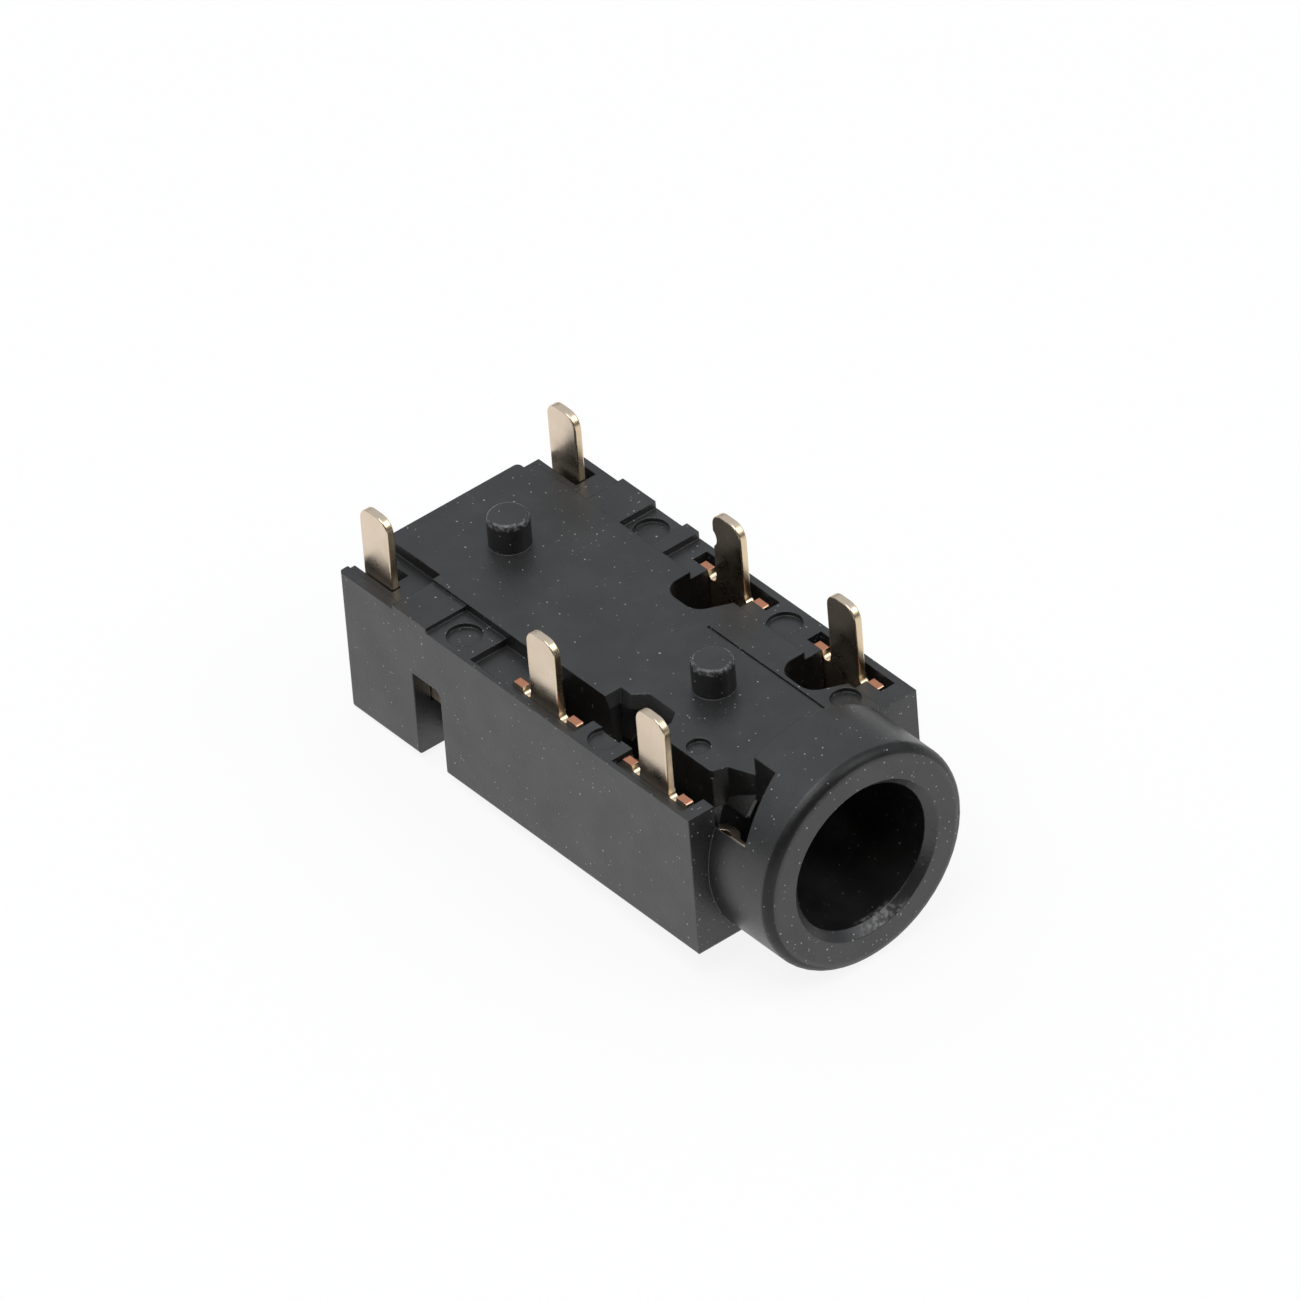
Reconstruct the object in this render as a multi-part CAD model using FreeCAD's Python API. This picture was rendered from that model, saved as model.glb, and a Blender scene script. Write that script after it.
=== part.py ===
import FreeCAD, Part
import math
import os

# A 3.5 mm audio jack socket for soldering through a circuit board, lying with its board side up.
# Sizes are in millimetres. X runs along the plug hole towards its mouth, Y across the body and Z up
# to the board side. The origin is on the plug hole's axis, in the plane of the body's front face.
# The near side is the one at negative Y, and the far side the one at positive Y.

Vector = FreeCAD.Vector

# Plug hole and collar
bore_radius = 1.80
mouth_flare = 0.20
mouth_chamfer_depth = 0.20
collar_wall = 0.98
collar_length = 2.00
collar_edge_round = 0.28
core_hole_radius = 1.20
rear_wall = 1.10
bore_draft = 0.03

# Body
body_length = 12.00
body_width = 6.42
floor_wall = 0.22
roof_wall = 0.17
plateau_rise = 0.20
near_pad_rise = 0.12
far_pad_rise = 0.18
near_strip_drop = 0.19
near_rim = 0.12
body_edge_round = 0.10
bore_side_wall = 0.13

# Locating pegs
peg_radius = 0.49
peg_height = 0.78
peg_setback = 2.97
peg_spacing = 7.00
peg_edge_round = 0.13

# Outline of the plateau, as distances from the axis and from the front face
plateau_near_wide = 2.06
plateau_far_wide = 2.15
wide_length_near = 5.50
rear_pocket_length = 1.87
rear_pocket_depth = 0.29
rear_pocket_edge = 1.84
rear_pocket_rim = 0.25
end_pin_pocket_depth = 0.84
far_corner_step = 0.25
far_corner_edge = 1.88

# Raised pads and ribs on the side strips, as distances from the rear face
near_pad_end = 3.02
near_recess_end = 4.40
far_pad_start = 2.02
far_pad_end = 3.15
far_rib_start = 4.23
far_rib_end = 4.64

# Notches in the plateau's near edge
notch_front = 2.64
notch_rear = 4.37
notch_slant_start = 4.01
notch_slant_end = 3.74
notch_slant_front = 2.87
notch_step_edge = 1.48
notch_edge = 1.18
notch_slope_depth = 0.30
notch_slope = 0.14
root_notch_start = 0.63
root_notch_slant = 0.12
root_notch_edge = 1.56
window_edge = 1.31
window_reach = 1.00
window_reach_inner = 0.72

# Fine line that the mould's insert leaves along the far side of the plateau
insert_line_offset = 1.25
insert_line_width = 0.06
insert_line_start = 0.70
insert_line_end = 4.66

# Stamped blades and their solder pins
metal = 0.20
pin_width = 0.97
pin_rise = 1.77
pin_corner = 0.36
pin_edge_round = 0.035
blade_half_width = 1.10
stub_drop = 0.05
stub_corner = 0.06
relief_width = 0.27
relief_depth = 0.19
blade_bottom = 1.20
blade_inset = 0.46
near_front_pin = 1.60
near_middle_pin = 5.33
far_front_pin = 1.75
far_middle_pin = 5.64
end_pin_setback = 0.80
end_blade_inset = 0.56
end_blade_front = 0.75
end_blade_rear = 0.53
end_blade_bottom = 0.85
end_blade_top = 1.30
key_bite_radius = 0.27
key_bite_depth = 0.13
key_bite_height = 1.03

# Spring leaves
contact_intrusion = 0.30
contact_round = 0.32
leaf_half_height = 0.42
leaf_round = 0.30
flare_rise = 0.27
hairpin_radius = 0.20
sleeve_leaf_top = 0.87
sleeve_contact_setback = 0.45
end_leaf_reach = 3.28
end_return = 0.85
fold_radius = 0.25
fold_width = 0.70
fold_drop = 0.35
far_pocket_rear = 0.74
far_pocket_front = 0.76
far_pocket_edge = 1.34
far_pocket_round = 0.45

# Notch in the near wall, and marks
wall_notch_start = 2.38
wall_notch_width = 0.97
wall_notch_top = 0.28
wall_notch_depth = 1.00
mark_depth = 0.11
mark_radius = 0.41
rear_mark_setback = 3.67
side_mark_offset = 2.64
near_mark_setback = 3.44
near_mark_offset = 2.71
near_mark_radius = 0.38
far_mark_setback = 3.76
front_mark_setback = 0.66
front_mark_offset = 1.78
front_mark_radius = 0.35
plateau_mark_setback = 1.62
plateau_mark_offset = 1.56
plateau_mark_radius = 0.27

# Clearances
fit = 0.02
leaf_room = 0.10
trench_margin = 0.15
below_blade = 0.05

# Levels and side lines that follow from the sizes above
plateau_level = bore_radius + roof_wall
strip_level = plateau_level - plateau_rise
near_pad_level = strip_level + near_pad_rise
far_pad_level = strip_level + far_pad_rise
near_strip_level = strip_level - near_strip_drop
bottom_level = -(bore_radius + floor_wall)
half_width = body_width / 2
collar_radius = bore_radius + collar_wall
mouth_radius = bore_radius + mouth_flare
trench_inner = bore_radius + bore_side_wall
blade_y = half_width - blade_inset
end_blade_y = half_width - end_blade_inset
trench_outer = blade_y - metal / 2 - trench_margin
pin_top = strip_level + pin_rise
stub_top = strip_level - stub_drop
contact_y = bore_radius - contact_intrusion + metal / 2
rear = -body_length
bore_end = rear + rear_wall
wide_front_near = rear + wide_length_near
end_leaf_front = rear + end_leaf_reach
fold_bottom = -(blade_bottom + fold_drop)


def slab(x, y, z):
    """A box between the two limits given for each axis."""
    size = [max(pair) - min(pair) for pair in (x, y, z)]
    return Part.makeBox(size[0], size[1], size[2], Vector(min(x), min(y), min(z)))


def unit(vector):
    result = Vector(vector)
    result.normalize()
    return result


def left_of(direction):
    return Vector(-direction.y, direction.x, 0)


def corner_arc(before, corner, after, radius, offset=0.0):
    """Start, middle and end of the round at a corner, moved sideways by offset."""
    way_in = unit(corner - before)
    way_out = unit(after - corner)
    turn = math.atan2(way_in.cross(way_out).z, way_in.dot(way_out))
    tangent = radius * math.tan(abs(turn) / 2)
    side = 1 if turn > 0 else -1
    start = corner - way_in * tangent
    end = corner + way_out * tangent
    centre = start + left_of(way_in) * (radius * side)
    middle = centre + unit(corner - centre) * (radius - side * offset)
    return start + left_of(way_in) * offset, middle, end + left_of(way_out) * offset


def rounded_wire(corners):
    """A closed outline in the XY plane through corners of x, y and radius."""
    points = [Vector(x, y, 0) for x, y, radius in corners]
    count = len(points)
    edges = []
    joints = []
    for index, (x, y, radius) in enumerate(corners):
        if radius > 0:
            arc = corner_arc(points[index - 1], points[index], points[(index + 1) % count], radius)
            edges.append(Part.Arc(*arc).toShape())
            joints.append((arc[0], arc[2]))
        else:
            joints.append((points[index], points[index]))
    for index in range(count):
        start = joints[index - 1][1]
        end = joints[index][0]
        if (end - start).Length > 1e-6:
            edges.append(Part.makeLine(start, end))
    return Part.Wire(Part.__sortEdges__(edges))


def prism(corners, z):
    """The outline through corners, filled and raised between two levels."""
    face = Part.Face(rounded_wire(corners))
    solid = face.extrude(Vector(0, 0, max(z) - min(z)))
    solid.translate(Vector(0, 0, min(z)))
    return solid


def ribbon(path, thickness):
    """A strip's section in the XY plane, along points of x, y and bend radius."""
    points = [Vector(x, y, 0) for x, y, radius in path]
    sides = []
    for offset in (thickness / 2, -thickness / 2):
        edges = []
        here = points[0] + left_of(unit(points[1] - points[0])) * offset
        ends = [here]
        for index in range(1, len(points) - 1):
            before, corner, after = points[index - 1:index + 2]
            arc = corner_arc(before, corner, after, path[index][2], offset)
            if (arc[0] - here).Length > 1e-6:
                edges.append(Part.makeLine(here, arc[0]))
            edges.append(Part.Arc(*arc).toShape())
            here = arc[2]
        last = points[-1] + left_of(unit(points[-1] - points[-2])) * offset
        edges.append(Part.makeLine(here, last))
        ends.append(last)
        sides.append((edges, ends))
    caps = [Part.makeLine(sides[0][1][end], sides[1][1][end]) for end in (0, 1)]
    edges = sides[0][0] + sides[1][0] + caps
    return Part.Face(Part.Wire(Part.__sortEdges__(edges)))


def mirror_side(shape):
    return shape.mirror(Vector(0, 0, 0), Vector(0, 1, 0))


def turned(profile):
    """A solid of revolution about the plug hole's axis, from points of x and radius."""
    points = [Vector(x, radius, 0) for x, radius in profile]
    face = Part.Face(Part.makePolygon(points + [points[0]]))
    return face.revolve(Vector(0, 0, 0), Vector(1, 0, 0), 360)


def edges_where(shape, wanted):
    return [edge for edge in shape.Edges if wanted(edge)]


def merged(first, others):
    return first.fuse(others).removeSplitter()


def block():
    """The moulded block, with its upright and lower edges rounded."""
    solid = slab((-body_length, 0), (-half_width, half_width), (bottom_level, strip_level))

    def round_it(edge):
        box = edge.BoundBox
        upright = box.ZLength > max(box.XLength, box.YLength)
        return (upright and box.XMax < -body_length / 2) or box.ZMax < bottom_level + fit

    return solid.makeFillet(body_edge_round, edges_where(solid, round_it))


def plateau():
    """The raised middle of the board side, which seats on the board."""
    outline = [
        (rear, -rear_pocket_edge, 0),
        (rear + rear_pocket_length, -rear_pocket_edge, 0),
        (rear + rear_pocket_length, -plateau_near_wide, 0),
        (wide_front_near, -plateau_near_wide, 0),
        (wide_front_near, -trench_inner, 0),
        (-root_notch_start - root_notch_slant, -trench_inner, collar_edge_round / 2),
        (-root_notch_start, -root_notch_edge, 0),
        (0, -window_edge, 0),
        (0, plateau_far_wide, 0),
        (rear + far_corner_step, plateau_far_wide, far_corner_step / 2),
        (rear + far_corner_step, far_corner_edge, 0),
        (rear, far_corner_edge, far_corner_step / 2),
    ]
    return prism(outline, (bore_radius / 2, plateau_level))


def strip_pads():
    """The low pads and the rib that break up the side strips near the rear."""
    low = strip_level - plateau_rise
    near = slab((rear + rear_pocket_length, rear + near_pad_end),
                (-half_width, -rear_pocket_edge), (low, near_pad_level))
    far_side = (trench_inner, half_width)
    far = slab((rear + far_pad_start, rear + far_pad_end), far_side, (low, far_pad_level))
    rib = slab((rear + far_rib_start, rear + far_rib_end), far_side, (low, far_pad_level))
    return [near, far, rib]


def collar():
    """The round collar around the plug hole's mouth, with its front edge rounded."""
    tube = Part.makeCylinder(collar_radius, collar_length, Vector(0, 0, 0), Vector(1, 0, 0))
    front = edges_where(tube, lambda edge: edge.BoundBox.XMin > collar_length - fit)
    return tube.makeFillet(collar_edge_round, front)


def pegs():
    """The two round pegs that drop into the board's locating holes."""
    solids = []
    for setback in (peg_setback, peg_setback + peg_spacing):
        foot = Vector(-setback, 0, bore_radius + roof_wall / 2)
        peg = Part.makeCylinder(peg_radius, peg_height + roof_wall / 2, foot)
        top = edges_where(peg, lambda edge: edge.BoundBox.ZMin > plateau_level + peg_height - fit)
        solids.append(peg.makeFillet(peg_edge_round, top))
    return solids


def plug_hole():
    """The plug's hole: chamfered mouth, straight land, drafted bore, and the core pin's rear hole."""
    ahead = collar_length + mouth_flare
    return turned([
        (-body_length - 1, 0),
        (-body_length - 1, core_hole_radius),
        (bore_end, core_hole_radius),
        (bore_end, bore_radius - bore_draft),
        (0, bore_radius),
        (collar_length - mouth_chamfer_depth, bore_radius),
        (collar_length, mouth_radius),
        (ahead, mouth_radius),
        (ahead, 0),
    ])


def strip_sinks():
    """The sunk near strip around each solder pin, and the end pockets open to the rear."""
    open_rear = rear - 1
    above = plateau_level + 1
    behind = blade_half_width + below_blade
    ahead = blade_half_width + trench_margin
    across = (-half_width + near_rim, -trench_inner)
    middle = slab((wide_front_near, -near_middle_pin + ahead), across, (near_strip_level, above))
    front = slab((-near_front_pin - behind, -near_front_pin + ahead), across, (near_strip_level, above))
    middle_end = slab((rear + near_recess_end, wide_front_near),
                      (-half_width + near_rim, -plateau_near_wide), (near_strip_level, above))
    near_pocket = slab((open_rear, rear + rear_pocket_length),
                       (-half_width + rear_pocket_rim, -rear_pocket_edge),
                       (plateau_level - rear_pocket_depth, above))
    pin_front = rear + end_pin_setback + pin_width / 2 + fit
    near_deep = slab((open_rear, pin_front - metal), (-end_blade_y, -plateau_far_wide),
                     (plateau_level - end_pin_pocket_depth, above))
    far_pocket = slab((open_rear, pin_front), (end_blade_y - metal, half_width - metal),
                      (plateau_level - end_pin_pocket_depth, above))
    return [middle, front, middle_end, near_pocket, near_deep, far_pocket]


def near_trench():
    """The trench for the near leaves, open to the board side only forward of the middle pin."""
    low = -blade_bottom - below_blade
    above = plateau_level + 1
    outer = -blade_y - metal / 2
    open_start = -near_middle_pin - pin_width / 2
    hairpin_end = -near_middle_pin - blade_half_width - 2 * metal
    solids = [slab((open_start, fit), (-trench_outer, -trench_inner), (low, above))]
    for setback in (near_middle_pin, near_front_pin):
        slot = (-setback - blade_half_width - fit, -setback + blade_half_width + fit)
        solids.append(slab(slot, (outer, -blade_y + metal / 2 + fit), (low, above)))
        solids.append(slab((max(slot[0], open_start), slot[1]), (outer, -trench_inner), (low, above)))
    solids.append(slab((hairpin_end, -near_middle_pin), (outer, -trench_inner),
                       (low, leaf_half_height + leaf_room)))
    return solids


def sleeve_window():
    """The upright opening through the collar's root, beside the tube that the root keeps inside it."""
    low = -leaf_half_height - leaf_room
    above = plateau_level + 1
    window = prism([
        (0, -trench_outer, 0),
        (window_reach, -trench_outer, 0),
        (window_reach_inner, -window_edge, 0),
        (0, -window_edge, 0),
    ], (low, above))
    step_start = -root_notch_start - root_notch_slant
    step = prism([
        (step_start, -trench_outer, 0),
        (0, -trench_outer, 0),
        (0, -window_edge, 0),
        (-root_notch_start, -root_notch_edge, 0),
        (step_start, -trench_inner, 0),
    ], (low, above))
    tube = Part.makeCylinder(trench_inner, -step_start, Vector(step_start, 0, 0), Vector(1, 0, 0))
    step = step.cut(tube)
    contact_room = slab((-root_notch_start - 2 * leaf_room, 0), (-trench_outer, -root_notch_edge),
                        (low, sleeve_leaf_top + leaf_room))
    relief = prism([
        (-near_front_pin, -blade_y - metal / 2, 0),
        (-root_notch_start, -blade_y - metal / 2, 0),
        (fit, -trench_outer - below_blade, 0),
        (fit, -trench_inner, 0),
        (-near_front_pin, -trench_inner, 0),
    ], (low, sleeve_leaf_top + leaf_room))
    return [window, step, contact_room, relief]


def notch_outline(inset, z):
    """The edge notch's outline, drawn in by an inset, at a level."""
    outside = -trench_inner - fit
    corners = [
        (-notch_rear + inset, outside),
        (-notch_rear + inset, -notch_step_edge - inset),
        (-notch_slant_start + inset / 2, -notch_step_edge - inset),
        (-notch_slant_end + inset / 2, -notch_edge - inset),
        (-notch_slant_front - inset / 2, -notch_edge - inset),
        (-notch_front - inset, -notch_step_edge - inset),
        (-notch_front - inset, outside),
    ]
    points = [Vector(x, y, z) for x, y in corners]
    return Part.makePolygon(points + [points[0]])


def edge_notch():
    """The notch in the plateau's near edge for the middle contact, with a sloping upper wall."""
    low = plateau_level - notch_slope_depth
    slope = Part.makeLoft([notch_outline(notch_slope, low),
                           notch_outline(-notch_slope, low + 2 * notch_slope_depth)], True, True)
    floor = -leaf_half_height - leaf_room
    shaft = Part.Face(notch_outline(notch_slope, floor)).extrude(Vector(0, 0, low - floor))
    return [slope, shaft]


def far_pocket(pin_place):
    """A far terminal's slot and the rounded pocket beside it for the folded leaf."""
    x = -pin_place
    leaf_x = fold_x(pin_place)
    above = plateau_level + 1
    slot_inner = blade_y - metal / 2 - fit
    slot_outer = blade_y + metal / 2 + fit
    slot = slab((x - blade_half_width - fit, x + blade_half_width + fit), (slot_inner, slot_outer),
                (-blade_bottom - below_blade, above))
    lead_in = slab((x - blade_half_width - trench_margin, x + blade_half_width + trench_margin),
                   (slot_inner, half_width - metal + fit), (stub_top - 2 * metal, above))
    pocket = prism([
        (x - far_pocket_rear, slot_inner + fit, 0),
        (x - far_pocket_rear, far_pocket_edge, far_pocket_round),
        (x + far_pocket_front / 2, far_pocket_edge, far_pocket_round),
        (x + far_pocket_front, slot_inner - far_pocket_round, metal),
        (x + far_pocket_front, slot_inner + fit, 0),
    ], (fold_bottom - below_blade, above))
    fold_room = slab((leaf_x - fold_width / 2 - below_blade, leaf_x + fold_width / 2 + below_blade),
                     (slot_inner - metal, slot_outer), (fold_bottom - below_blade, 0))
    return [slot, lead_in, pocket, fold_room]


def rear_cavity():
    """The near rear terminal's slot and the room for its leaf, both open to the rear."""
    open_rear = rear - 1
    pin_front = rear + end_pin_setback + pin_width / 2 + fit
    outer = -end_blade_y - metal / 2 - fit
    inner = -end_blade_y + metal / 2 + fit
    blade_front = rear + end_pin_setback + end_blade_front + fit
    pin_slot = slab((open_rear, pin_front), (outer, inner), (0, plateau_level + 1))
    blade_slot = slab((open_rear, blade_front), (outer, inner),
                      (-end_blade_bottom - below_blade, end_blade_top + below_blade))
    leaf_low = -end_blade_bottom + leaf_room
    leaf_high = leaf_half_height + leaf_room
    channel = slab((open_rear, end_leaf_front + leaf_room), (outer, -bore_radius - 2 * metal),
                   (leaf_low, leaf_high))
    window = slab((bore_end + leaf_room, end_leaf_front + leaf_room),
                  (outer, -contact_y), (leaf_low, leaf_high))
    return [pin_slot, blade_slot, channel, window]


def side_notch():
    """The notch in the near wall, open at the bottom, that shows the tip contact's leaf."""
    start = rear + wall_notch_start
    end = start + wall_notch_width
    outline = [
        (start, bottom_level - 1, 0),
        (end, bottom_level - 1, 0),
        (end, wall_notch_top, wall_notch_width / 5),
        (start, wall_notch_top, 0),
    ]
    notch = prism(outline, (0, wall_notch_depth))
    notch.rotate(Vector(0, 0, 0), Vector(1, 0, 0), 90)
    notch.translate(Vector(0, wall_notch_depth - half_width, 0))
    return notch


def ejector_marks():
    """The shallow round marks that the mould's ejector pins leave on the board side."""
    places = [
        (rear + rear_mark_setback, -side_mark_offset, mark_radius, strip_level),
        (rear + rear_mark_setback, side_mark_offset, mark_radius, strip_level),
        (-near_mark_setback, -near_mark_offset, near_mark_radius, strip_level),
        (-far_mark_setback, side_mark_offset, mark_radius, strip_level),
        (-front_mark_setback, front_mark_offset, front_mark_radius, plateau_level),
        (-plateau_mark_setback, -plateau_mark_offset, plateau_mark_radius, plateau_level),
    ]
    return [Part.makeCylinder(radius, 1, Vector(x, y, level - mark_depth))
            for x, y, radius, level in places]


def insert_line():
    """The fine line beside the far pockets."""
    return slab((-insert_line_end, -insert_line_start),
                (insert_line_offset - insert_line_width, insert_line_offset),
                (plateau_level - insert_line_width, plateau_level + 1))


def housing():
    solid = merged(block(), [plateau(), collar()] + strip_pads() + pegs())
    cuts = [plug_hole(), side_notch()]
    cuts += strip_sinks() + near_trench() + edge_notch() + [insert_line()] + sleeve_window()
    cuts += rear_cavity() + [mirror_side(shape) for shape in rear_cavity()]
    cuts += far_pocket(far_front_pin) + far_pocket(far_middle_pin)
    return solid.cut(cuts).cut(ejector_marks()).removeSplitter()


def pin(low):
    """A flat solder pin standing on the origin's X, with its top corners and edges rounded."""
    face = Part.Face(rounded_wire([
        (-pin_width / 2, low, 0),
        (pin_width / 2, low, 0),
        (pin_width / 2, pin_top, pin_corner),
        (-pin_width / 2, pin_top, pin_corner),
    ]))
    solid = face.extrude(Vector(0, 0, metal))
    solid.rotate(Vector(0, 0, 0), Vector(1, 0, 0), 90)
    solid.translate(Vector(0, metal / 2, 0))

    def round_it(edge):
        return edge.BoundBox.YLength < fit and edge.BoundBox.ZMax > low + fit

    return solid.makeFillet(pin_edge_round, edges_where(solid, round_it))


def shouldered_blade():
    """A terminal's upright blade: pin, relief notches beside its foot, and sheared stubs."""
    plate = slab((-blade_half_width, blade_half_width), (-metal / 2, metal / 2), (-blade_bottom, stub_top))
    corners = edges_where(plate, lambda edge: edge.BoundBox.YLength > fit and edge.BoundBox.ZMin > 0)
    plate = plate.makeFillet(stub_corner, [edge for edge in corners if edge.BoundBox.XLength < fit])
    cuts = []
    for side in (-1, 1):
        middle = side * (pin_width + relief_width) / 2
        foot = stub_top - relief_depth + relief_width / 2
        start = Vector(middle, -metal, foot)
        cuts.append(Part.makeCylinder(relief_width / 2, 2 * metal, start, Vector(0, 1, 0)))
        cuts.append(slab((middle - relief_width / 2, middle + relief_width / 2), (-metal, metal),
                         (foot, stub_top + 1)))
    return merged(plate.cut(cuts), [pin(stub_top - 2 * relief_depth)])


def leaf(path, z):
    """A spring leaf that follows a path in plan, as high as the strip it is cut from."""
    solid = ribbon(path, metal).extrude(Vector(0, 0, max(z) - min(z)))
    solid.translate(Vector(0, 0, min(z)))
    return solid


def sleeve_contact():
    """Near front terminal: its leaf runs into the collar, turns back and presses on the sleeve."""
    blade = shouldered_blade()
    blade.translate(Vector(-near_front_pin, -blade_y, 0))
    front = window_reach - 2 * leaf_room
    outer = -trench_outer + metal / 2 + leaf_room
    inner = outer + 2 * hairpin_radius
    turn = front - metal / 2
    path = [
        (-near_front_pin, -blade_y, 0),
        (-root_notch_start - 2 * metal, -blade_y, leaf_round),
        (metal, outer, leaf_round),
        (turn, outer, hairpin_radius),
        (turn, inner, hairpin_radius),
        (-leaf_room, inner, leaf_round),
        (-sleeve_contact_setback, -contact_y, contact_round),
        (-root_notch_start - leaf_room, -contact_y - flare_rise, 0),
    ]
    strip = leaf(path, (-leaf_half_height, sleeve_leaf_top))
    trim = slab((-near_front_pin, window_reach), (outer + metal / 2 + fit, 0),
                (leaf_half_height, sleeve_leaf_top + 1))
    return merged(blade, [strip.cut(trim)])


def ring_2_contact():
    """Near middle terminal: its leaf turns in the trench and runs forward to the edge notch."""
    blade = shouldered_blade()
    blade.translate(Vector(-near_middle_pin, -blade_y, 0))
    lane = (trench_outer + trench_inner) / 2 + below_blade
    turn_radius = (blade_y - lane) / 2
    turn = -near_middle_pin - blade_half_width - turn_radius
    contact = -(notch_front + notch_rear) / 2
    reach = (notch_rear - notch_front) / 2 - 2 * metal
    path = [
        (-near_middle_pin, -blade_y, 0),
        (turn, -blade_y, turn_radius),
        (turn, -lane, turn_radius),
        (contact - 2 * reach, -lane, leaf_round),
        (contact, -contact_y, contact_round),
        (contact + reach, -contact_y - flare_rise, 0),
    ]
    return merged(blade, [leaf(path, (-leaf_half_height, leaf_half_height))])


def end_contact():
    """Near rear terminal: its leaf runs forward, turns back and presses on the plug's tip."""
    x = rear + end_pin_setback
    plate = slab((-end_blade_rear, end_blade_front), (-metal / 2, metal / 2),
                 (-end_blade_bottom, end_blade_top))
    blade = merged(plate, [pin(end_blade_top - metal)])
    blade.translate(Vector(x, -end_blade_y, 0))
    turn = end_leaf_front - metal / 2
    inner = end_blade_y - 2 * hairpin_radius
    path = [
        (x, -end_blade_y, 0),
        (turn, -end_blade_y, hairpin_radius),
        (turn, -inner, hairpin_radius),
        (turn - 2 * hairpin_radius, -inner, leaf_round / 2),
        (turn - end_return, -contact_y, contact_round),
        (turn - end_return - 2 * metal, -contact_y - flare_rise, 0),
    ]
    low = -end_blade_bottom + 2 * leaf_room
    return merged(blade, [leaf(path, (low, leaf_half_height))])


def fold_x(pin_place):
    """Where the folded leaf's middle is along X, for the far terminal at a pin."""
    return -pin_place - (far_pocket_rear - far_pocket_front) / 2 - metal / 4


def folded_contact(pin_place):
    """Far terminal: its leaf folds under the blade and rises beside the bore."""
    blade = shouldered_blade()
    blade.translate(Vector(-pin_place, blade_y, 0))
    lane = blade_y - 2 * fold_radius
    foot = fold_bottom + metal / 2
    path = [
        (blade_y, -blade_bottom + 2 * metal, 0),
        (blade_y, foot, fold_radius),
        (lane, foot, fold_radius),
        (lane, -2 * leaf_half_height, leaf_round),
        (contact_y, 0, contact_round),
        (contact_y + flare_rise, leaf_half_height + metal, 0),
    ]
    strip = leaf(path, (0, fold_width))
    strip.rotate(Vector(0, 0, 0), Vector(1, 0, 0), 90)
    strip.rotate(Vector(0, 0, 0), Vector(0, 0, 1), 90)
    strip.translate(Vector(fold_x(pin_place) - fold_width / 2, 0, 0))
    return merged(blade, [strip])


def keyed(contact):
    """The same terminal with the rounded bite in its pin's rear edge."""
    pin_edge = -far_middle_pin - pin_width / 2
    bite = Vector(pin_edge + key_bite_depth - key_bite_radius, blade_y - metal,
                  strip_level + key_bite_height)
    return contact.cut(Part.makeCylinder(key_bite_radius, 2 * metal, bite, Vector(0, 1, 0)))


def main():
    pieces = {
        "housing": housing(),
        "sleeve_contact": sleeve_contact(),
        "ring_2_contact": ring_2_contact(),
        "tip_contact": end_contact(),
        "tip_detect_contact": mirror_side(end_contact()),
        "ring_1_contact": keyed(folded_contact(far_middle_pin)),
        "sleeve_detect_contact": folded_contact(far_front_pin),
    }
    os.makedirs("parts", exist_ok=True)
    for name, shape in pieces.items():
        box = shape.BoundBox
        print(name, shape.isValid(), len(shape.Solids), len(shape.Faces), round(shape.Volume, 3),
              [round(value, 2) for value in (box.XMin, box.XMax, box.YMin, box.YMax, box.ZMin, box.ZMax)])
        shape.exportStep("parts/" + name + ".step")


main()
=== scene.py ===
import bpy
from mathutils import Matrix, Vector


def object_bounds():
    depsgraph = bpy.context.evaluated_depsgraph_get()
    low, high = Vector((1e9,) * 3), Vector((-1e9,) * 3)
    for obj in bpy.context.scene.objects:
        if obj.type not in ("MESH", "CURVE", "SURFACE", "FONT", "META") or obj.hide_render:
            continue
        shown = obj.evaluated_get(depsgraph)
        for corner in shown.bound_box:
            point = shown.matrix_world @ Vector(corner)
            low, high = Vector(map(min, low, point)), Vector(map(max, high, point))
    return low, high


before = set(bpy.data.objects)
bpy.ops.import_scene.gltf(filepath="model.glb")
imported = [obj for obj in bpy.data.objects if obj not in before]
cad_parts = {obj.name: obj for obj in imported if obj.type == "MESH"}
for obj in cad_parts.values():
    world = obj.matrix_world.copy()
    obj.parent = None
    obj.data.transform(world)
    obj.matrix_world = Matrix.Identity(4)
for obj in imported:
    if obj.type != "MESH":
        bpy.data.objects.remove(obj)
cad_low, cad_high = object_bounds()

MM = 0.001

# Where the camera stands, read from the photograph's perspective
AIM = Vector((-3.8068, -1.0233, 3.0575)) * MM
CAMERA_RIGHT = Vector((0.6357, 0.7693, -0.0647))
CAMERA_UP = Vector((-0.4504, 0.4377, 0.7782))
CAMERA_DISTANCE = 403.2 * MM
SENSOR_WIDTH = 36
LENS = 516.5
NEAREST_SEEN = 10 * MM
FARTHEST_SEEN = 10

# The surface the part lies on: it touches the collar and the body's rear lower edge
COLLAR_BOTTOM = Vector((1.0, 0.0, -2.78)) * MM
REAR_BOTTOM = Vector((-12.0, 0.0, -2.02)) * MM
FLOOR_SIZE = 3.0
FLOOR_ROUGHNESS = 0.9
FLOOR_SPECULAR = 0.1
FLOOR_WHITE = 0.88

# The lamps: place and width in metres, power in watts
KEY_PLACE = (0.05, -0.25, 0.68)
KEY_WIDTH = 0.60
KEY_POWER = 3.0
FILL_PLACE = (0.45, 0.35, 0.55)
FILL_WIDTH = 0.50
FILL_POWER = 1.5

# The pale tent: the side it stands on, and where it fades in beside and above the dark room
TENT_SIDE = (-0.80, 0.60, 0.0)
TENT_FADE_BESIDE = (-0.65, 0.05)
TENT_FADE_ABOVE = (0.0, 0.5)

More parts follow.
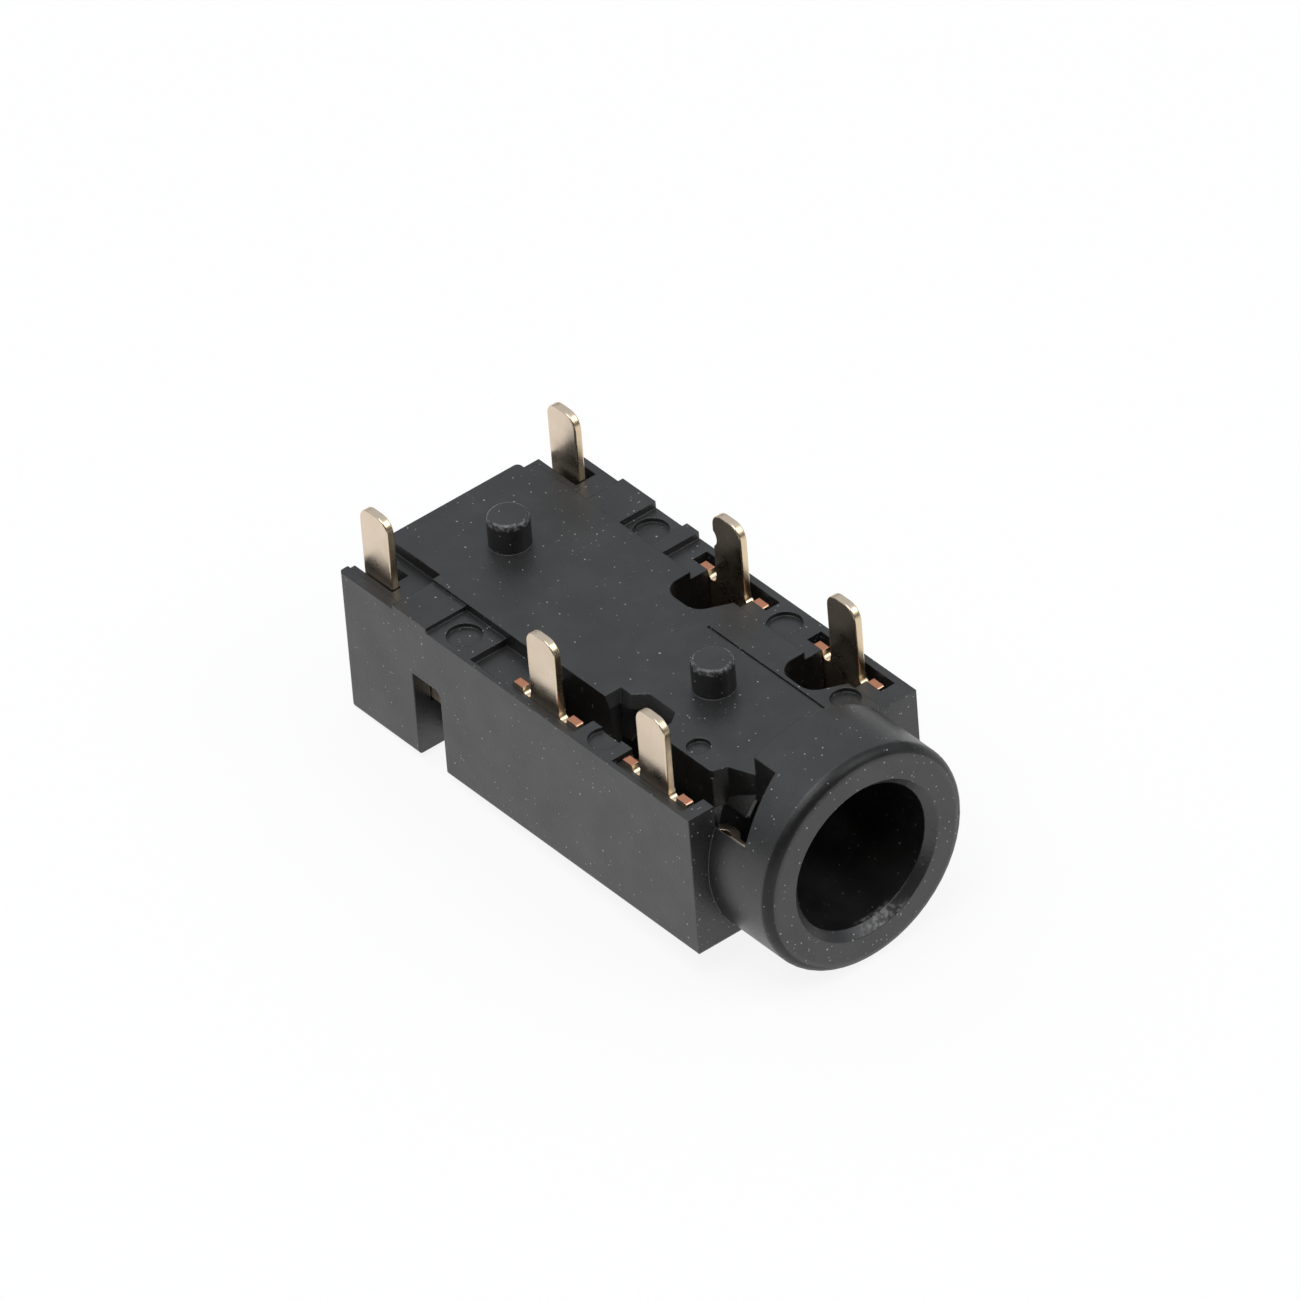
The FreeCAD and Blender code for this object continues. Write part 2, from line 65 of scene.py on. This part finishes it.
# Colours, in linear light
PLASTIC = (0.006, 0.006, 0.0062, 1.0)
PLASTIC_PALE = (0.015, 0.015, 0.0154, 1.0)
SPECK = (0.32, 0.32, 0.32, 1.0)
# Pale scuff on worn edges and peg rims, also used as a painted highlight on the mouth's bevel
SCUFF_AND_HIGHLIGHT = (0.16, 0.16, 0.165, 1.0)
PALE_GOLD = (0.74, 0.62, 0.49, 1.0)
PALE_GOLD_DIM = (0.70, 0.58, 0.45, 1.0)
RICH_GOLD = (0.76, 0.61, 0.42, 1.0)
COPPER = (0.62, 0.27, 0.16, 1.0)
FLOOR = (0.90, 0.90, 0.90, 1.0)
TENT = (0.66, 0.69, 0.72, 1.0)
ROOM = (0.06, 0.06, 0.06, 1.0)

# The plastic's shine
PLASTIC_IOR = 1.68
PLASTIC_ROUGHNESS = (0.38, 0.44)
PLASTIC_SPECULAR = 0.5
# A lower specular level that paints a dark band of shade along the collar's rounded front edge
SHADE_BAND_SPECULAR = 0.22
PLASTIC_EDGE = 0.04 * MM
PLASTIC_GRAIN_STRENGTH = 0.6
PLASTIC_GRAIN_DEPTH = 0.010 * MM
EDGE_WEAR_SHARE = 0.35
PEG_RIM_SHARE = 0.7

# The plate's shine
METAL_ROUGHNESS = (0.24, 0.36)
METAL_EDGE = 0.03 * MM
METAL_GRAIN_STRENGTH = 0.10
METAL_GRAIN_DEPTH = 0.006 * MM

# How fine each pattern is, in cells to the metre
MOTTLE_SCALE = 1100.0
WEAR_SCALE = 3200.0
PLASTIC_SHINE_SCALE = 900.0
PLASTIC_GRAIN_SCALE = 14000.0
PEG_RIM_SCALE = 12000.0
MOUTH_HIGHLIGHT_SCALE = 7000.0
PLATE_SCALE = 700.0
METAL_SHINE_SCALE = 1500.0
METAL_GRAIN_SCALE = 5000.0
NOISE_ROUGHNESS = 0.55

# The part of each pattern's range that it fades over
PATTERN_FADE = (0.3, 0.7)
MOTTLE_FADE = (0.35, 0.75)
WEAR_FADE = (0.48, 0.66)
PEG_RIM_FADE = (0.46, 0.64)
MOUTH_HIGHLIGHT_FADE = (0.42, 0.62)

# Pale specks: cells to the metre, how far a dot reaches in its cell, and the share of cells left bare
LARGE_SPECKS = (6000.0, 0.18, 0.95)
SMALL_SPECKS = (12000.0, 0.27, 0.90)
SPECK_CORE = 0.6

# An edge shows where the softened normal leans away from the true one
EDGE_LEAN = (0.97, 0.75)
BEVEL_SAMPLES = 6

# The sheared stubs' tops: their heights, and how far up a face has to look
STUB_FROM = (1.62 * MM, 1.67 * MM)
STUB_TO = (1.80 * MM, 1.85 * MM)
FACES_UP = (0.6, 0.8)
FACES_ALONG = (0.3, 0.7)

# The collar's rounded front edge, where a lower specular level paints a dark band of shade
COLLAR_ROUND_RADIUS = (2.52 * MM, 2.58 * MM)
COLLAR_ROUND_FROM = (1.74 * MM, 1.82 * MM)
COLLAR_ROUND_TO = (1.97 * MM, 1.99 * MM)

# The rough rim around each peg's top
PEG_RIM_FROM = (2.58 * MM, 2.63 * MM)
PEG_RIM_TO = (2.73 * MM, 2.75 * MM)

# A painted highlight, in patches of pale colour at the bottom of the mouth's bevel
MOUTH_HIGHLIGHT_RADIUS = (1.98 * MM, 2.00 * MM)
MOUTH_HIGHLIGHT_FROM = (1.65 * MM, 1.73 * MM)
MOUTH_HIGHLIGHT_TOP = (-1.80 * MM, -1.60 * MM)
MOUTH_HIGHLIGHT_SIDE = (-0.40 * MM, 0.10 * MM)

RISING = (0.0, 1.0)
FALLING = (1.0, 0.0)


class Nodes:
    """Builds the node tree of a material or a world with short calls."""

    def __init__(self, owner):
        self.tree = owner.node_tree

    def add(self, kind, **settings):
        node = self.tree.nodes.new(kind)
        for key, value in settings.items():
            setattr(node, key, value)
        return node

    def link(self, source, target):
        self.tree.links.new(source, target)

    def place(self):
        return self.add("ShaderNodeTexCoord").outputs["Object"]

    def place_along(self):
        """The place along each of the part's three directions."""
        return self.split(self.place())

    def noise(self, scale, detail=3.0):
        node = self.add("ShaderNodeTexNoise")
        node.inputs["Scale"].default_value = scale
        node.inputs["Detail"].default_value = detail
        node.inputs["Roughness"].default_value = NOISE_ROUGHNESS
        self.link(self.place(), node.inputs["Vector"])
        return node.outputs["Fac"]

    def span(self, value, ends, to=RISING):
        """The value carried smoothly from one span to another, held at its ends."""
        node = self.add("ShaderNodeMapRange", interpolation_type="SMOOTHSTEP")
        node.inputs["From Min"].default_value = ends[0]
        node.inputs["From Max"].default_value = ends[1]
        node.inputs["To Min"].default_value = to[0]
        node.inputs["To Max"].default_value = to[1]
        self.link(value, node.inputs["Value"])
        return node.outputs["Result"]

    def math(self, operation, first, second=0.0):
        node = self.add("ShaderNodeMath", operation=operation)
        for socket, value in zip(node.inputs, (first, second)):
            if isinstance(value, (int, float)):
                socket.default_value = value
            else:
                self.link(value, socket)
        return node.outputs["Value"]

    def product(self, first, *others):
        result = first
        for other in others:
            result = self.math("MULTIPLY", result, other)
        return result

    def dot(self, first, second):
        """How far two directions agree, where the second may be a fixed one."""
        node = self.add("ShaderNodeVectorMath", operation="DOT_PRODUCT")
        self.link(first, node.inputs[0])
        if isinstance(second, tuple):
            node.inputs[1].default_value = second
        else:
            self.link(second, node.inputs[1])
        return node.outputs["Value"]

    def mix(self, factor, first, second):
        """A colour between two, each a fixed colour or another node's output."""
        node = self.add("ShaderNodeMix", data_type="RGBA")
        self.link(factor, node.inputs["Factor"])
        colours = [socket for socket in node.inputs if socket.type == "RGBA"]
        for socket, value in zip(colours, (first, second)):
            if isinstance(value, tuple):
                socket.default_value = value
            else:
                self.link(value, socket)
        return [socket for socket in node.outputs if socket.type == "RGBA"][0]

    def split(self, vector):
        node = self.add("ShaderNodeSeparateXYZ")
        self.link(vector, node.inputs["Vector"])
        return node.outputs

    def true_normal(self):
        return self.add("ShaderNodeNewGeometry").outputs["Normal"]

    def softened_edges(self, radius):
        node = self.add("ShaderNodeBevel", samples=BEVEL_SAMPLES)
        node.inputs["Radius"].default_value = radius
        return node.outputs["Normal"]

    def grain(self, scale, strength, depth, edge_radius):
        """A fine grain over faces whose edges look slightly rounded."""
        node = self.add("ShaderNodeBump")
        node.inputs["Strength"].default_value = strength
        node.inputs["Distance"].default_value = depth
        self.link(self.noise(scale, detail=2.0), node.inputs["Height"])
        self.link(self.softened_edges(edge_radius), node.inputs["Normal"])
        return node.outputs["Normal"]


class Finish(Nodes):
    """One material and its node tree."""

    def __init__(self, name):
        self.material = bpy.data.materials.new(name)
        self.material.use_nodes = True
        super().__init__(self.material)
        self.shader = self.tree.nodes["Principled BSDF"]

    def drive(self, socket, source):
        """Makes another node's output steer one of the shader's sockets."""
        self.link(source, self.shader.inputs[socket])

    def fix(self, socket, value):
        """Gives one of the shader's sockets a value that is the same all over."""
        self.shader.inputs[socket].default_value = value


def specks(nodes, scale, reach, bare_share):
    """Sparse small dots of uneven strength, one at most in each cell of a fine pattern."""
    cells = nodes.add("ShaderNodeTexVoronoi")
    cells.inputs["Scale"].default_value = scale
    nodes.link(nodes.place(), cells.inputs["Vector"])
    near = nodes.span(cells.outputs["Distance"], (SPECK_CORE * reach, reach), FALLING)
    chosen = nodes.span(nodes.split(cells.outputs["Color"])[0], (bare_share, 1.0))
    return nodes.product(near, chosen)


def edge_wear(nodes):
    """Worn stretches of the plastic's edges."""
    lean = nodes.dot(nodes.softened_edges(PLASTIC_EDGE), nodes.true_normal())
    stretches = nodes.span(nodes.noise(WEAR_SCALE), WEAR_FADE)
    return nodes.product(nodes.span(lean, EDGE_LEAN), stretches)


def from_bore_line(nodes, place):
    """The distance from the bore's middle line."""
    across = nodes.product(place[1], place[1])
    up = nodes.product(place[2], place[2])
    return nodes.math("SQRT", nodes.math("ADD", across, up))


def collar_shade_band_mask(nodes):
    """One on the collar's rounded front edge, where a dark band of shade is painted, and nought
    elsewhere.
    """
    place = nodes.place_along()
    outside = nodes.span(from_bore_line(nodes, place), COLLAR_ROUND_RADIUS)
    ahead = nodes.span(place[0], COLLAR_ROUND_FROM)
    behind = nodes.span(place[0], COLLAR_ROUND_TO, FALLING)
    return nodes.product(outside, ahead, behind)


def peg_rims(nodes):
    """Patches of the rough rim around each peg's top."""
    place = nodes.place_along()
    above = nodes.span(place[2], PEG_RIM_FROM)
    below = nodes.span(place[2], PEG_RIM_TO, FALLING)
    on_body = nodes.math("LESS_THAN", place[0])
    patches = nodes.span(nodes.noise(PEG_RIM_SCALE, detail=2.0), PEG_RIM_FADE)
    return nodes.product(patches, on_body, above, below)


def mouth_painted_highlight(nodes):
    """Patches of painted highlight, pale, at the bottom of the mouth's bevel."""
    place = nodes.place_along()
    inside = nodes.span(from_bore_line(nodes, place), MOUTH_HIGHLIGHT_RADIUS, FALLING)
    ahead = nodes.span(place[0], MOUTH_HIGHLIGHT_FROM)
    low = nodes.span(place[2], MOUTH_HIGHLIGHT_TOP, FALLING)
    beside = nodes.span(place[1], MOUTH_HIGHLIGHT_SIDE)
    patches = nodes.span(nodes.noise(MOUTH_HIGHLIGHT_SCALE), MOUTH_HIGHLIGHT_FADE)
    return nodes.product(patches, inside, ahead, low, beside)


def black_plastic():
    """Moulded black plastic with a fine grain, pale specks and edges that catch the light."""
    nodes = Finish("moulded_black_plastic")
    mottle = nodes.span(nodes.noise(MOTTLE_SCALE, detail=4.0), MOTTLE_FADE)
    base = nodes.mix(mottle, PLASTIC, PLASTIC_PALE)
    worn = nodes.mix(nodes.product(edge_wear(nodes), EDGE_WEAR_SHARE), base, SCUFF_AND_HIGHLIGHT)
    rims = nodes.product(peg_rims(nodes), PEG_RIM_SHARE)
    # Pale scuff on the peg rims, and a painted highlight at the bottom of the mouth's bevel
    rubbed_and_highlit = nodes.mix(nodes.math("MAXIMUM", rims, mouth_painted_highlight(nodes)), worn, SCUFF_AND_HIGHLIGHT)
    dust = nodes.math("MAXIMUM", specks(nodes, *LARGE_SPECKS), specks(nodes, *SMALL_SPECKS))
    nodes.drive("Base Color", nodes.mix(dust, rubbed_and_highlit, SPECK))
    shine = nodes.span(nodes.noise(PLASTIC_SHINE_SCALE), PATTERN_FADE, PLASTIC_ROUGHNESS)
    nodes.drive("Roughness", shine)
    # Painted shade: the specular level drops on the collar's rounded front edge to paint a dark band
    painted_shade_band = nodes.span(collar_shade_band_mask(nodes), RISING, (PLASTIC_SPECULAR, SHADE_BAND_SPECULAR))
    nodes.drive("Specular IOR Level", painted_shade_band)
    grain = nodes.grain(PLASTIC_GRAIN_SCALE, PLASTIC_GRAIN_STRENGTH, PLASTIC_GRAIN_DEPTH, PLASTIC_EDGE)
    nodes.drive("Normal", grain)
    nodes.fix("IOR", PLASTIC_IOR)
    return nodes.material


def sheared_tops(nodes):
    """One on the stubs' tops and nought elsewhere."""
    height = nodes.place_along()[2]
    faces_up = nodes.span(nodes.split(nodes.true_normal())[2], FACES_UP)
    above = nodes.span(height, STUB_FROM)
    below = nodes.span(height, STUB_TO, FALLING)
    return nodes.product(faces_up, above, below)


def plated_metal():
    """Copper alloy with a thin pale gold plate, bare where the punch sheared the stubs' tops."""
    nodes = Finish("plated_contact_metal")
    along = nodes.math("ABSOLUTE", nodes.split(nodes.true_normal())[0])
    pale = nodes.mix(nodes.span(nodes.noise(PLATE_SCALE), PATTERN_FADE), PALE_GOLD, PALE_GOLD_DIM)
    plate = nodes.mix(nodes.span(along, FACES_ALONG), pale, RICH_GOLD)
    nodes.drive("Base Color", nodes.mix(sheared_tops(nodes), plate, COPPER))
    shine = nodes.span(nodes.noise(METAL_SHINE_SCALE), PATTERN_FADE, METAL_ROUGHNESS)
    nodes.drive("Roughness", shine)
    grain = nodes.grain(METAL_GRAIN_SCALE, METAL_GRAIN_STRENGTH, METAL_GRAIN_DEPTH, METAL_EDGE)
    nodes.drive("Normal", grain)
    nodes.fix("Metallic", 1.0)
    return nodes.material


def floor_material():
    """A pale floor, seen directly and in reflections as nearly plain white."""
    nodes = Finish("pale_floor")
    nodes.fix("Base Color", FLOOR)
    nodes.fix("Roughness", FLOOR_ROUGHNESS)
    nodes.fix("Specular IOR Level", FLOOR_SPECULAR)
    rays = nodes.add("ShaderNodeLightPath").outputs
    seen = nodes.math("MAXIMUM", rays["Is Camera Ray"], rays["Is Glossy Ray"])
    white = nodes.add("ShaderNodeEmission")
    mixed = nodes.add("ShaderNodeMixShader")
    nodes.link(nodes.product(seen, FLOOR_WHITE), mixed.inputs["Fac"])
    nodes.link(nodes.shader.outputs["BSDF"], mixed.inputs[1])
    nodes.link(white.outputs["Emission"], mixed.inputs[2])
    nodes.link(mixed.outputs["Shader"], nodes.tree.nodes["Material Output"].inputs["Surface"])
    return nodes.material


def dress_frame():
    """Plastic on the housing and plated metal on the six contacts."""
    plastic = black_plastic()
    metal = plated_metal()
    for name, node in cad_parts.items():
        node.data.materials.clear()
        node.data.materials.append(plastic if name == "housing" else metal)


def turned_to(x_axis, y_axis, z_axis, place):
    """The matrix that puts an object at a place, with its axes along three directions."""
    turn = Matrix((x_axis, y_axis, z_axis)).transposed().to_4x4()
    return Matrix.Translation(place) @ turn


def floor():
    """The plane that the part comes to rest on, square to its middle plane."""
    along = (COLLAR_BOTTOM - REAR_BOTTOM).normalized()
    side = Vector((0, 1, 0))
    bpy.ops.mesh.primitive_grid_add(x_subdivisions=2, y_subdivisions=2, size=FLOOR_SIZE)
    plane = bpy.context.object
    plane.name = "floor"
    plane.matrix_world = turned_to(along, side, along.cross(side), COLLAR_BOTTOM)
    plane.data.materials.append(floor_material())


def camera():
    """A long lens that looks down on the near side and the collar."""
    data = bpy.data.cameras.new("camera")
    data.sensor_width = SENSOR_WIDTH
    data.lens = LENS
    data.clip_start = NEAREST_SEEN
    data.clip_end = FARTHEST_SEEN
    eye = bpy.data.objects.new("camera", data)
    right = CAMERA_RIGHT.normalized()
    back = CAMERA_RIGHT.cross(CAMERA_UP).normalized()
    up = back.cross(right).normalized()
    eye.matrix_world = turned_to(right, up, back, AIM + back * CAMERA_DISTANCE)
    bpy.context.scene.collection.objects.link(eye)
    bpy.context.scene.camera = eye


def soft_lamp(name, place, width, power):
    """A round soft lamp at a place, turned to the part."""
    data = bpy.data.lights.new(name, "AREA")
    data.shape = "DISK"
    data.size = width
    data.energy = power
    lamp = bpy.data.objects.new(name, data)
    target = (cad_low + cad_high) / 2
    lamp.location = Vector(place)
    lamp.rotation_mode = "QUATERNION"
    lamp.rotation_quaternion = (target - lamp.location).to_track_quat("-Z", "Y")
    bpy.context.scene.collection.objects.link(lamp)


def surround():
    """A pale tent, open to a dark room around its foot and on the side the picture is taken from."""
    world = bpy.data.worlds.new("surround")
    world.use_nodes = True
    nodes = Nodes(world)
    direction = nodes.add("ShaderNodeTexCoord").outputs["Generated"]
    beside = nodes.span(nodes.dot(direction, TENT_SIDE), TENT_FADE_BESIDE)
    above = nodes.span(nodes.split(direction)[2], TENT_FADE_ABOVE)
    colour = nodes.mix(nodes.product(beside, above), ROOM, TENT)
    nodes.link(colour, nodes.tree.nodes["Background"].inputs["Color"])
    bpy.context.scene.world = world


dress_frame()
floor()
camera()
soft_lamp("key", KEY_PLACE, KEY_WIDTH, KEY_POWER)
soft_lamp("fill", FILL_PLACE, FILL_WIDTH, FILL_POWER)
surround()
bpy.context.scene.view_settings.view_transform = "Standard"
